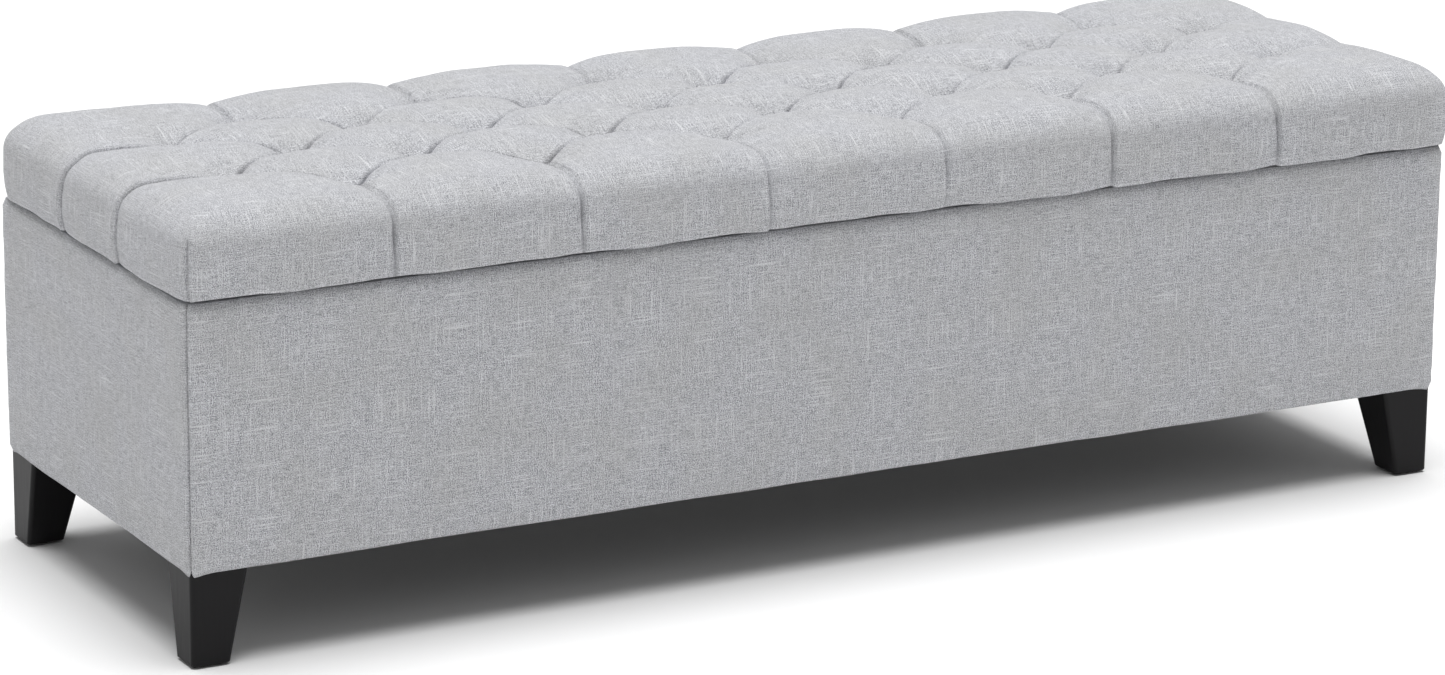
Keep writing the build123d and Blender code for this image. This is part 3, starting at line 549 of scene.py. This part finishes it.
def linen():
    """Matt and soft: light and dark yarns over and under, pale slubs, and faint warm patches."""
    material, tree, shader = new_material("linen_look_weave")
    place = add_node(tree, "ShaderNodeUVMap", {"uv_map": "cloth"})
    fine = 1 / YARN
    warp = stretched_noise(tree, place, (fine, fine / SHADE_RUN, 1.0))
    weft = stretched_noise(tree, place, (fine / SHADE_RUN, fine, 1.0))
    grain = stretched_noise(tree, place, (fine * 1.1, fine * 1.1, 1.0))
    woven = 0.0
    for threads, share in ((weft, 0.55), (warp, 0.55), (grain, 2.0)):
        woven = add_node(
            tree, "ShaderNodeMath", {"operation": "MULTIPLY_ADD"}, _0=threads, _1=share, _2=woven
        )
    tone = add_node(tree, "ShaderNodeMapRange", Value=woven, From_Min=1.0, From_Max=2.1)
    colour = add_node(tree, "ShaderNodeValToRGB", Fac=tone)
    colour.color_ramp.elements[0].color = linear("#6F7075")
    colour.color_ramp.elements[1].color = linear("#DFE0E4")
    slub_up = stretched_noise(tree, place, (fine * 1.1, fine / SLUB_RUN, 1.0), 0.0)
    slub_over = stretched_noise(tree, place, (fine / SLUB_RUN, fine * 1.1, 1.0), 0.0)
    thick = add_node(tree, "ShaderNodeMath", {"operation": "MAXIMUM"}, _0=slub_up, _1=slub_over)
    slub_share = add_node(
        tree, "ShaderNodeMapRange", Value=thick, From_Min=0.74, From_Max=0.81, To_Max=0.5
    )
    blend = {"data_type": "RGBA"}
    pale = linear("#E0E1E3")
    slubbed = add_node(tree, "ShaderNodeMix", blend, _0=slub_share, _6=colour, _7=pale)
    patches = stretched_noise(tree, place, PATCHES)
    warm_share = add_node(
        tree, "ShaderNodeMapRange", Value=patches, From_Min=0.35, From_Max=0.7, To_Max=0.16
    )
    warm = linear("#ABAAA4")
    tinted = add_node(
        tree, "ShaderNodeMix", blend, _0=warm_share, _6=slubbed.outputs[2], _7=warm
    )
    set_inputs(
        tree,
        shader,
        Base_Color=tinted.outputs[2],
        Roughness=0.92,
        Specular_IOR_Level=0.25,
        Sheen_Weight=0.1,
        Sheen_Roughness=0.5,
        Normal=add_node(tree, "ShaderNodeBump", Height=woven, Strength=0.5, Distance=0.0005),
    )
    return material


linen_cloth = linen()
lid_pad = finished(bm, "lid_pad", linen_cloth, "lid")
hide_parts("lid_cover", "lid_foam")


# ---------------------------------------------------------------- box cover
# The box's cloth: four cut panels sewn in the corners, drawn tight over thin foam, turned over
# the rim and down inside it, and turned under the box, where it is stapled.

BOX_ROUND = 12 * MM
HEM_INSET = 17 * MM
BOARD_BACK = 18.4 * MM
RIM_INSET = 20 * MM
TURN_DOWN = 30 * MM
FIRST_BEND = 4 * MM
HEM_UP = 1.5 * MM

# The mesh is finer beside the corner seams.
SEAM_ZONE = 30 * MM
SEAM_STEPS = 14
STEPS_UP = 34
STEPS_LONG = 150
STEPS_DEEP = 46

# The weave of the ends starts at another place than that of the front and the back.
END_WEAVE_SHIFT = 0.37

# Corner grooves with puckers beside them, slack in between, and rolled upper and lower edges.
GROOVE_DEPTH = 3.4 * MM
GROOVE_WIDTH = 1.6 * MM
PUCKER = 0.7 * MM
PUCKER_SIZE = 18 * MM
PUCKER_REACH = 20 * MM
BROAD_SLACK = 0.9 * MM
BROAD_SLACK_SIZE = 110 * MM
FINE_SLACK = 0.4 * MM
FINE_SLACK_SIZE = 35 * MM
ROLLED_EDGE = 3 * MM
BOTTOM_ROLL = 0.02
TOP_ROLL = 0.015

# The lower edge is uneven, and hangs a little lower at the corners.
LOWER_SHARE = 0.12
EDGE_WANDER = 1 * MM
EDGE_WANDER_SIZE = 70 * MM
CORNER_DROOP = 3.5 * MM
CORNER_DROOP_WIDTH = 16 * MM

front_low, front_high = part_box("base_cover_front")
box_low = Vector((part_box("base_cover_left")[0].x, front_low.y, front_low.z))
box_high = Vector((
    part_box("base_cover_right")[1].x,
    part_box("base_cover_back")[1].y,
    front_high.z,
))
bm = rectangle_block(box_low, box_high)
ends = [face for face in bm.faces if abs(face.normal.z) > 0.5]
bmesh.ops.delete(bm, geom=ends, context="FACES_ONLY")
cut_across(bm, 0, (box_low.x + SEAM_ZONE, box_high.x - SEAM_ZONE))
cut_across(bm, 1, (box_low.y + SEAM_ZONE, box_high.y - SEAM_ZONE))
divide_along(bm, 2, box_low.z, box_high.z, STEPS_UP)
for axis, parts in ((0, STEPS_LONG), (1, STEPS_DEEP)):
    low_end, high_end = box_low[axis] + SEAM_ZONE, box_high[axis] - SEAM_ZONE
    divide_along(bm, axis, low_end, high_end, parts)
    divide_along(bm, axis, box_low[axis], low_end, SEAM_STEPS)
    divide_along(bm, axis, high_end, box_high[axis], SEAM_STEPS)

cloth = bm.loops.layers.uv.new("cloth")
for face in bm.faces:
    for loop in face.loops:
        x, y, z = loop.vert.co
        loop[cloth].uv = (x, z) if abs(face.normal.y) > 0.5 else (y + END_WEAVE_SHIFT, z)

points = points_of(bm)
half = np.array([box_high.x, box_high.y])
flat = np.clip(points[:, :2], BOX_ROUND - half, half - BOX_ROUND)
outward = points[:, :2] - flat
outward /= np.linalg.norm(outward, axis=1)[:, None]
from_corner = np.abs(np.abs(points[:, 0]) - half[0]) + np.abs(np.abs(points[:, 1]) - half[1])
level = (points[:, 2] - box_low.z) / (box_high.z - box_low.z)
groove = GROOVE_DEPTH * bell(from_corner, GROOVE_WIDTH)
pucker = PUCKER * wave(points * [1, 1, 2.2], PUCKER_SIZE, 9) * np.exp(-from_corner / PUCKER_REACH)
slack = BROAD_SLACK * wave(points * [1, 1, 0.5], BROAD_SLACK_SIZE, 10)
slack += FINE_SLACK * wave(points, FINE_SLACK_SIZE, 11)
at_bottom = np.clip(1 - level / BOTTOM_ROLL, 0, 1)
at_top = np.clip((level - (1 - TOP_ROLL)) / TOP_ROLL, 0, 1)
height = slack + pucker - groove - ROLLED_EDGE * (at_bottom**2 + at_top**2)
points[:, :2] = flat + outward * (BOX_ROUND + height)[:, None]
lower = np.clip(1 - level / LOWER_SHARE, 0, 1)
points[:, 2] += lower * EDGE_WANDER * wave(points * [1, 1, 0], EDGE_WANDER_SIZE, 12)
points[:, 2] -= lower * CORNER_DROOP * bell(from_corner, CORNER_DROOP_WIDTH)
put_points(bm, points)


def folded_in(bm, rim, inset, back_inset, level):
    """Carries a closed rim of cloth inwards to an inset from the box's faces, at a height."""
    made = bmesh.ops.extrude_edge_only(bm, edges=rim)["geom"]
    for vert in (item for item in made if isinstance(item, bmesh.types.BMVert)):
        vert.co.x = max(box_low.x + inset, min(box_high.x - inset, vert.co.x))
        vert.co.y = max(box_low.y + inset, min(box_high.y - back_inset, vert.co.y))
        vert.co.z = level
    return [item for item in made if isinstance(item, bmesh.types.BMEdge) and item.is_boundary]


outer_faces = set(bm.faces)
middle_height = (box_low.z + box_high.z) / 2
open_edges = [edge for edge in bm.edges if edge.is_boundary]
hem_edges = [edge for edge in open_edges if edge.verts[0].co.z < middle_height]
rim_edges = [edge for edge in open_edges if edge.verts[0].co.z > middle_height]
for inset, level in (
    (FIRST_BEND, box_low.z),
    (HEM_INSET, box_low.z),
    (HEM_INSET, box_low.z + HEM_UP),
):
    hem_edges = folded_in(bm, hem_edges, inset, inset, level)
for inset, back_inset, level in (
    (FIRST_BEND, FIRST_BEND, box_high.z),
    (RIM_INSET, BOARD_BACK, box_high.z),
    (RIM_INSET, BOARD_BACK, box_high.z - TURN_DOWN),
    (BOARD_BACK, BOARD_BACK, box_high.z - TURN_DOWN),
):
    rim_edges = folded_in(bm, rim_edges, inset, back_inset, level)
bmesh.ops.bridge_loops(bm, edges=hem_edges + rim_edges)
bmesh.ops.recalc_face_normals(bm, faces=bm.faces)
for face in bm.faces:
    face.smooth = True

# The turned-in cloth takes its weave from the way that each face looks.
for face in set(bm.faces) - outer_faces:
    facing = max(range(3), key=lambda axis: abs(face.normal[axis]))
    across, up = ((1, 2), (0, 2), (0, 1))[facing]
    for loop in face.loops:
        loop[cloth].uv = (loop.vert.co[across], loop.vert.co[up])

box_cover = finished(bm, "box_cover", linen_cloth, "base")
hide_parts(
    *[f"base_cover_{side}" for side in ("front", "back", "left", "right")],
    *[f"base_padding_{side}" for side in ("front", "back", "left", "right")],
)


# ---------------------------------------------------------------- legs
# Solid wood blocks, sprayed black and satin. The grain shows only as faint ripples, 2.4 mm wide
# and 38 mm long, that run up the leg.

LACQUER_RIPPLES = (420.0, 420.0, 26.0)


def black_lacquer():
    """Nearly black, with broad soft highlights that the ripples break up a little."""
    material, tree, shader = new_material("black_satin_lacquer")
    place = add_node(tree, "ShaderNodeTexCoord").outputs["Object"]
    grain = stretched_noise(tree, place, LACQUER_RIPPLES, 3.0, flat=False)
    colour = add_node(tree, "ShaderNodeValToRGB", Fac=grain)
    colour.color_ramp.elements[0].color = linear("#09080A")
    colour.color_ramp.elements[1].color = linear("#131214")
    set_inputs(
        tree,
        shader,
        Base_Color=colour,
        Roughness=add_node(tree, "ShaderNodeMapRange", Value=grain, To_Min=0.34, To_Max=0.5),
        Specular_IOR_Level=0.2,
        Normal=add_node(tree, "ShaderNodeBump", Height=grain, Strength=0.25, Distance=0.0002),
    )
    return material


def dress(material, *names):
    """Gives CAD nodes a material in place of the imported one."""
    for name in names:
        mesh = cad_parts[name].data
        mesh.materials.clear()
        mesh.materials.append(material)


CORNERS = ("front_left", "front_right", "back_left", "back_right")
dress(black_lacquer(), *[f"leg_{corner}" for corner in CORNERS])


# ---------------------------------------------------------------- boards
# Plywood boards and pine rails, screwed and stapled together under the cloth. They keep their raw
# sawn face: pale wood with long brown grain lines, 6 mm wide on plywood and 4.5 mm on pine.

PLYWOOD_GRAIN = (9.0, 160.0, 160.0)
PINE_GRAIN = (12.0, 220.0, 220.0)


def raw_wood(name, light, dark, scales):
    """Dull pale wood with darker lines that run along it."""
    material, tree, shader = new_material(name)
    place = add_node(tree, "ShaderNodeTexCoord").outputs["Object"]
    grain = stretched_noise(tree, place, scales, 4.0, flat=False)
    colour = add_node(tree, "ShaderNodeValToRGB", Fac=grain)
    colour.color_ramp.elements[0].position = 0.3
    colour.color_ramp.elements[0].color = linear(dark)
    colour.color_ramp.elements[1].position = 0.7
    colour.color_ramp.elements[1].color = linear(light)
    set_inputs(
        tree,
        shader,
        Base_Color=colour,
        Roughness=0.72,
        Normal=add_node(tree, "ShaderNodeBump", Height=grain, Strength=0.3, Distance=0.0003),
    )
    return material


plywood = raw_wood("raw_plywood", "#D3B78E", "#B08B5D", PLYWOOD_GRAIN)
pine = raw_wood("sawn_pine", "#DDBB85", "#BD9157", PINE_GRAIN)
dress(plywood, "front_panel", "back_panel", "left_panel", "right_panel")
dress(plywood, "bottom_panel", "lid_board")
dress(pine, "corner_blocks", "floor_cleats", "centre_brace", "hinge_rail")


# ---------------------------------------------------------------- linings
# Black non-woven cloth, pressed from loose fibres in a grid of small dimples. It is folded up
# inside the box as a tray, covers the lid's board, and closes the underside against dust.

DIMPLE_GRID = 2.4 * MM
FIBRES = (900.0, 900.0, 900.0)
LINING = 0.8 * MM
LINING_MESH = 12 * MM
LINING_SLACK = 0.4 * MM
DUST_COVER_SLACK = 2.4 * MM
STAPLED_ZONE = 60 * MM
TRAY_BEND = 6 * MM
TRAY_SLACK = 1 * MM
TRAY_HELD_EDGE = 15 * MM
SHARP_TURN = 1.0


def pressed_fibre(name, light, dark):
    """Dull black fibres, 1.1 mm wide, with shinier pressed dimples 2.4 mm apart."""
    material, tree, shader = new_material(name)
    place = add_node(tree, "ShaderNodeTexCoord").outputs["Object"]
    fibres = stretched_noise(tree, place, FIBRES, 3.0, flat=False)
    dimples = add_node(
        tree, "ShaderNodeTexVoronoi", Vector=place, Scale=1 / DIMPLE_GRID, Randomness=0.12
    )
    pressed = add_node(
        tree, "ShaderNodeMapRange", Value=dimples.outputs["Distance"], From_Min=0.18, From_Max=0.36
    )
    height = add_node(
        tree, "ShaderNodeMath", {"operation": "MULTIPLY_ADD"}, _0=fibres, _1=0.45, _2=pressed
    )
    colour = add_node(tree, "ShaderNodeValToRGB", Fac=fibres)
    colour.color_ramp.elements[0].color = linear(dark)
    colour.color_ramp.elements[1].color = linear(light)
    set_inputs(
        tree,
        shader,
        Base_Color=colour,
        Roughness=add_node(tree, "ShaderNodeMapRange", Value=pressed, To_Min=0.55, To_Max=0.95),
        Sheen_Weight=0.15,
        Normal=add_node(tree, "ShaderNodeBump", Height=height, Strength=0.5, Distance=0.0004),
    )
    return material


def ridges(points, scale, seed):
    """Thin wandering creases, 1 along their crests and 0 between them."""
    return np.maximum(0, 1 - np.abs(wave(points, scale, seed)) / 0.11)


def lining_piece(bm, name, material, body):
    """Finishes a lining: smooth, and as thick as the cloth."""
    for face in bm.faces:
        face.smooth = True
    piece = finished(bm, name, material, body)
    thickness = piece.modifiers.new("cloth_thickness", "SOLIDIFY")
    thickness.thickness = LINING
    thickness.offset = 0.0
    return piece


def flat_lining(low, high, slack, seed):
    """A lining stapled flat along its edges and over the legs, and slack in between."""
    size = high - low
    bm = bmesh.new()
    columns, rows = round(size.x / LINING_MESH), round(size.y / LINING_MESH)
    bmesh.ops.create_grid(bm, x_segments=columns, y_segments=rows, size=0.5)
    bmesh.ops.scale(bm, vec=(size.x, size.y, 1.0), verts=bm.verts)
    middle = Vector(((low.x + high.x) / 2, (low.y + high.y) / 2, high.z - LINING / 2))
    bmesh.ops.translate(bm, vec=middle, verts=bm.verts)
    points = points_of(bm)
    from_middle = np.abs(points[:, :2] - np.array(middle.xy))
    from_edge = (np.array(size.xy) / 2 - from_middle).min(axis=1)
    from_leg = (np.array(leg_corner) - np.abs(points[:, :2])).max(axis=1)
    free = np.clip(np.minimum(from_edge, from_leg) / STAPLED_ZONE, 0, 1) ** 2
    sag = 0.7 + 0.5 * wave(points, 160 * MM, seed) + 0.4 * ridges(points, 120 * MM, seed)
    points[:, 2] -= slack * free * sag
    put_points(bm, points)
    return bm


leg_corner = -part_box("leg_front_left")[1].xy
lining_cloth = pressed_fibre("black_lining_cloth", "#3A3A3D", "#1E1E21")

# The tray: its floor and sides bulge a little where the boards don't hold it.
tray_low, tray_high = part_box("storage_lining")
bm = rectangle_block(tray_low, tray_high)
open_top = [face for face in bm.faces if face.normal.z > 0.5]
bmesh.ops.delete(bm, geom=open_top, context="FACES_ONLY")
for axis in range(3):
    parts = round((tray_high[axis] - tray_low[axis]) / LINING_MESH)
    divide_along(bm, axis, tray_low[axis], tray_high[axis], parts)
inner_edges = [edge for edge in bm.edges if not edge.is_boundary]
bends = [edge for edge in inner_edges if edge.calc_face_angle() > SHARP_TURN]
bmesh.ops.bevel(
    bm, geom=bends, affect="EDGES", offset=TRAY_BEND, segments=4, profile=0.5, material=-1
)
bm.normal_update()
inward = -np.array([vert.normal for vert in bm.verts])
points = points_of(bm)
loose = 0.45 + 0.45 * wave(points, 100 * MM, 21) + 0.7 * ridges(points, 90 * MM, 22)
below_edge = np.clip((tray_high.z - points[:, 2]) / TRAY_HELD_EDGE, 0, 1)
free = below_edge * (1 - np.abs(inward[:, 0]))
points += inward * (LINING / 2 + TRAY_SLACK * np.maximum(loose, 0) * free)[:, None]
put_points(bm, points)
box_lining = lining_piece(bm, "box_lining", lining_cloth, "base")
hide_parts("storage_lining")

lid_sheet = lining_piece(
    flat_lining(*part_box("lid_lining"), LINING_SLACK, 23), "lid_sheet", lining_cloth, "lid"
)
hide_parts("lid_lining")

dust_cloth = pressed_fibre("black_dust_cloth", "#2A2A2C", "#131315")
dust_sheet = lining_piece(
    flat_lining(*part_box("dust_cover"), DUST_COVER_SLACK, 24), "dust_sheet", dust_cloth, "base"
)
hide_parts("dust_cover")


# ---------------------------------------------------------------- hinges, stays and fixings
# Pressed and zinc-plated steel, with cloudy crystals about 6 mm wide and fine rolling lines. The
# hinges are screwed to the rail and the lid's board, and the stays riveted to their brackets.

ZINC_CLOUDS = (160.0, 160.0, 160.0)
ROLLING_LINES = (60.0, 1800.0, 1800.0)
STEEL_STARTS = (
    "hinge_base",
    "hinge_lid",
    "hinge_pins",
    "stay_",
    "leg_bolts",
    "leg_tee",
    "base_staples",
    "lid_staples",
)


def zinc_plate():
    """A cool grey metal, cloudy and finely lined, duller than a polished part."""
    material, tree, shader = new_material("zinc_plated_steel")
    place = add_node(tree, "ShaderNodeTexCoord").outputs["Object"]
    clouds = stretched_noise(tree, place, ZINC_CLOUDS, 4.0, flat=False)
    lines = stretched_noise(tree, place, ROLLING_LINES, 2.0, flat=False)
    colour = add_node(tree, "ShaderNodeValToRGB", Fac=clouds)
    colour.color_ramp.elements[0].color = linear("#A9ADB2")
    colour.color_ramp.elements[1].color = linear("#D5D8DB")
    mixed = add_node(
        tree, "ShaderNodeMath", {"operation": "MULTIPLY_ADD"}, _0=lines, _1=0.5, _2=clouds
    )
    rough = add_node(
        tree,
        "ShaderNodeMapRange",
        Value=mixed,
        From_Min=0.3,
        From_Max=1.2,
        To_Min=0.26,
        To_Max=0.5,
    )
    set_inputs(
        tree,
        shader,
        Base_Color=colour,
        Metallic=1.0,
        Roughness=rough,
        Normal=add_node(tree, "ShaderNodeBump", Height=lines, Strength=0.12, Distance=0.0001),
    )
    return material


steel_names = [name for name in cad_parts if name.startswith(STEEL_STARTS)]
dress(zinc_plate(), *steel_names)


# ---------------------------------------------------------------- bumpers, glides, anchors, ties
# Rubber bumpers on the rim, nailed plastic glides under the legs, and under the lid a plastic
# disc for each tuft's twine, which is twisted from two brown strands.

MOULD_GRAIN = (1400.0, 1400.0, 1400.0)
ROUGHNESS_VARIES = 0.08
STRAND_SCALE = 160.0


def moulded(name, light, dark, roughness):
    """Plain black rubber or plastic with a fine grain, 0.7 mm wide, that scatters highlights."""
    material, tree, shader = new_material(name)
    place = add_node(tree, "ShaderNodeTexCoord").outputs["Object"]
    grain = stretched_noise(tree, place, MOULD_GRAIN, 2.0, flat=False)
    colour = add_node(tree, "ShaderNodeValToRGB", Fac=grain)
    colour.color_ramp.elements[0].color = linear(dark)
    colour.color_ramp.elements[1].color = linear(light)
    rough = add_node(
        tree,
        "ShaderNodeMapRange",
        Value=grain,
        To_Min=roughness - ROUGHNESS_VARIES,
        To_Max=roughness + ROUGHNESS_VARIES,
    )
    set_inputs(
        tree,
        shader,
        Base_Color=colour,
        Roughness=rough,
        Normal=add_node(tree, "ShaderNodeBump", Height=grain, Strength=0.2, Distance=0.0001),
    )
    return material


def twisted_twine():
    """Dull brown twine, lighter on the strands' crowns and painted darker in the grooves where the
    two strands cross over, as shade.
    """
    material, tree, shader = new_material("brown_twine")
    place = add_node(tree, "ShaderNodeTexCoord").outputs["Object"]
    strands = add_node(
        tree,
        "ShaderNodeTexWave",
        {"bands_direction": "Z"},
        Vector=place,
        Scale=STRAND_SCALE,
        Distortion=2.0,
    ).outputs[1]
    # The ramp paints shade that follows the strands' relief: dark in the grooves, light on the
    # crowns.
    colour = add_node(tree, "ShaderNodeValToRGB", Fac=strands)
    colour.color_ramp.elements[0].color = linear("#8C7A58")
    colour.color_ramp.elements[1].color = linear("#C9B994")
    set_inputs(
        tree,
        shader,
        Base_Color=colour,
        Roughness=0.85,
        Normal=add_node(tree, "ShaderNodeBump", Height=strands, Strength=0.6, Distance=0.0003),
    )
    return material


dress(moulded("black_rubber", "#26262A", "#161618", 0.7), "rim_bumpers")
dress(moulded("black_moulded_plastic", "#202022", "#121214", 0.42), "leg_glides", "tuft_anchors")
dress(twisted_twine(), "tuft_ties")


# ---------------------------------------------------------------- studio
# A pale matt floor, a wide soft light from above, and an even white surround that fills the
# shadows.

FLOOR_REACH = 30.0
FLOOR_SHADE = (0.88, 0.88, 0.88, 1.0)
SURROUND = 0.36
TOP_LIGHT = 3.2
TOP_LIGHT_WIDTH = 0.8
TOP_LIGHT_AIM = Vector((-0.02, 0.01, -1.0))

floor_mesh = bpy.data.meshes.new("floor")
bm = bmesh.new()
bmesh.ops.create_grid(bm, x_segments=1, y_segments=1, size=FLOOR_REACH)
bm.to_mesh(floor_mesh)
bm.free()
floor = bpy.data.objects.new("floor", floor_mesh)
scene.collection.objects.link(floor)

# Matt white paint, evenly lit, that shows only the bench's soft shadow.
floor_finish, tree, shader = new_material("studio_floor")
set_inputs(tree, shader, Base_Color=FLOOR_SHADE, Roughness=0.9, Specular_IOR_Level=0.1)
floor_mesh.materials.append(floor_finish)

world = bpy.data.worlds.new("studio")
scene.world = world
world.use_nodes = True
background = world.node_tree.nodes["Background"]
background.inputs["Color"].default_value = (1.0, 1.0, 1.0, 1.0)
background.inputs["Strength"].default_value = SURROUND

light = bpy.data.lights.new("top_light", "SUN")
light.energy = TOP_LIGHT
light.angle = TOP_LIGHT_WIDTH
lamp = bpy.data.objects.new("top_light", light)
lamp.rotation_euler = TOP_LIGHT_AIM.to_track_quat("-Z", "Y").to_euler()
scene.collection.objects.link(lamp)
scene.view_settings.view_transform = "Standard"
